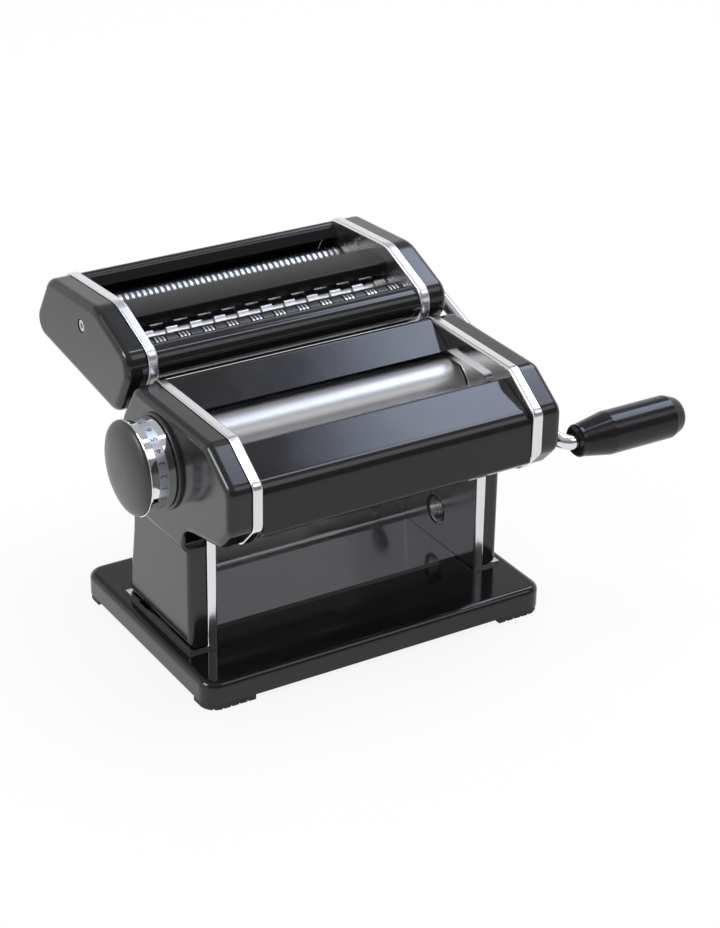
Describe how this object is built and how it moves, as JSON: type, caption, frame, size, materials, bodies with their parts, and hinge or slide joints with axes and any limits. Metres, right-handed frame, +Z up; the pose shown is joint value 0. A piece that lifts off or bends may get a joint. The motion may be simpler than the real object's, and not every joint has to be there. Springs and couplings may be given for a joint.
{
  "type": "pasta roller machine",
  "caption": "Hand-cranked pasta machine: smooth sheet rollers set by a pull-and-turn thickness knob, lift-off cutter head, folded steel base and a bent crank with a turned grip.",
  "frame": {"origin": "on the table under the middle of the base", "axes": "+X from the knob side to the crank side, +Y from the rollers to the cutter head, +Z up"},
  "size_m": [0.293, 0.2109, 0.1648],
  "materials": {
    "band_silver": "satin silver print",
    "bearing_plastic": "natural acetal",
    "bright_zinc": "bright zinc plate",
    "chromed_plastic": "chrome plate",
    "comb_plastic": "natural plastic",
    "cover_black": "high gloss black",
    "gear_steel": "machined",
    "grip_black": "gloss black",
    "knob_black": "fine satin black",
    "panel_black": "gloss black enamel",
    "polished_steel": "mirror polish",
    "roller_aluminium": "smooth anodised",
    "rubber_black": "moulded, ribbed",
    "satin_steel": "satin",
    "spring_steel": "drawn wire"
  },
  "bodies": {
    "machine": {"base_tray": "panel_black", "rubber_feet": "rubber_black", "base_screws": "bright_zinc", "base_nuts": "bright_zinc", "side_plate_left": "polished_steel", "side_plate_right": "polished_steel", "side_cover_left": "cover_black", "side_cover_right": "cover_black", "front_cover": "panel_black", "hopper_plate": "panel_black", "rear_panel": "polished_steel", "tie_rods": "satin_steel", "dough_guides": "knob_black", "roller_scrapers": "bearing_plastic", "roller_bushes": "bearing_plastic", "clamp_socket": "satin_steel", "accessory_rails": "satin_steel", "knob_collar": "knob_black", "drive_collar": "chromed_plastic"},
    "front_roller": {"front_roller": "roller_aluminium", "front_roller_shaft": "satin_steel", "front_roller_gear": "gear_steel"},
    "roller_carriage": {"carriage_left": "satin_steel", "carriage_right": "satin_steel", "carriage_link": "satin_steel"},
    "rear_roller": {"rear_roller": "roller_aluminium", "rear_roller_shaft": "satin_steel", "rear_roller_gear": "gear_steel"},
    "adjuster": {"adjuster_shaft": "satin_steel"},
    "thickness_knob": {"knob_barrel": "chromed_plastic", "number_ring": "band_silver", "knob_bezel": "chromed_plastic", "knob_cap": "knob_black", "knob_spring": "spring_steel"},
    "cutter_frame": {"cutter_plate_left": "polished_steel", "cutter_plate_right": "polished_steel", "cutter_cover_left": "cover_black", "cutter_cover_right": "cover_black", "cutter_cover_screws": "bright_zinc", "cutter_nose": "panel_black", "cutter_bridge": "panel_black", "cutter_back_panel": "panel_black", "cutter_tie_rods": "satin_steel", "cutter_bushes": "bearing_plastic", "wide_combs": "comb_plastic", "narrow_combs": "comb_plastic"},
    "wide_rear": {"wide_cutter_rear": "roller_aluminium", "wide_gear_rear": "gear_steel"},
    "wide_front": {"wide_cutter_front": "roller_aluminium", "wide_gear_front": "gear_steel"},
    "narrow_rear": {"narrow_cutter_rear": "roller_aluminium", "narrow_gear_rear": "gear_steel"},
    "narrow_front": {"narrow_cutter_front": "roller_aluminium", "narrow_gear_front": "gear_steel"},
    "crank": {"crank_arm": "chromed_plastic"},
    "crank_grip": {"crank_grip": "grip_black"}
  },
  "joints": [
    {"name": "front_roller_turn", "type": "hinge", "parent": "machine", "child": "front_roller", "pos_m": [0, -0.0462, 0.111], "axis": [1, 0, 0], "continuous": true},
    {"name": "knob_turn", "type": "hinge", "parent": "machine", "child": "adjuster", "pos_m": [-0.09, -0.012, 0.111], "axis": [1, 0, 0], "range_deg": [0, 144]},
    {"name": "knob_pull", "type": "slide", "parent": "adjuster", "child": "thickness_knob", "axis": [-1, 0, 0], "range_m": [0, 0.004], "stiffness_N_per_m": 600, "springref_m": -0.002, "deforming": ["knob_spring"]},
    {"name": "roller_gap", "type": "slide", "parent": "machine", "child": "roller_carriage", "axis": [0, -1, 0], "range_m": [0, 0.0042]},
    {"name": "rear_roller_turn", "type": "hinge", "parent": "roller_carriage", "child": "rear_roller", "pos_m": [0, -0.0099, 0.111], "axis": [1, 0, 0], "continuous": true},
    {"name": "cutter_lift", "type": "slide", "parent": "machine", "child": "cutter_frame", "axis": [0, 0, 1], "range_m": [0, 0.06]},
    {"name": "wide_cutter_turn", "type": "hinge", "parent": "cutter_frame", "child": "wide_rear", "pos_m": [0, 0.06, 0.139], "axis": [1, 0, 0], "continuous": true},
    {"name": "wide_front_turn", "type": "hinge", "parent": "cutter_frame", "child": "wide_front", "pos_m": [0, 0.043, 0.139], "axis": [1, 0, 0], "continuous": true},
    {"name": "narrow_cutter_turn", "type": "hinge", "parent": "cutter_frame", "child": "narrow_rear", "pos_m": [0, 0.104, 0.139], "axis": [1, 0, 0], "continuous": true},
    {"name": "narrow_front_turn", "type": "hinge", "parent": "cutter_frame", "child": "narrow_front", "pos_m": [0, 0.087, 0.139], "axis": [1, 0, 0], "continuous": true},
    {"name": "crank_pull", "type": "slide", "parent": "wide_rear", "child": "crank", "axis": [1, 0, 0], "range_m": [0, 0.03]},
    {"name": "grip_spin", "type": "hinge", "parent": "crank", "child": "crank_grip", "pos_m": [0.145, -0.067, 0.0944], "axis": [1, 0, 0], "continuous": true}
  ],
  "couplings": [
    {"joint": "knob_turn", "follows": "roller_gap", "rad_per_m": 598.4},
    {"joint": "rear_roller_turn", "follows": "front_roller_turn", "ratio": -1},
    {"joint": "wide_front_turn", "follows": "wide_cutter_turn", "ratio": -1},
    {"joint": "narrow_front_turn", "follows": "narrow_cutter_turn", "ratio": -1}
  ]
}
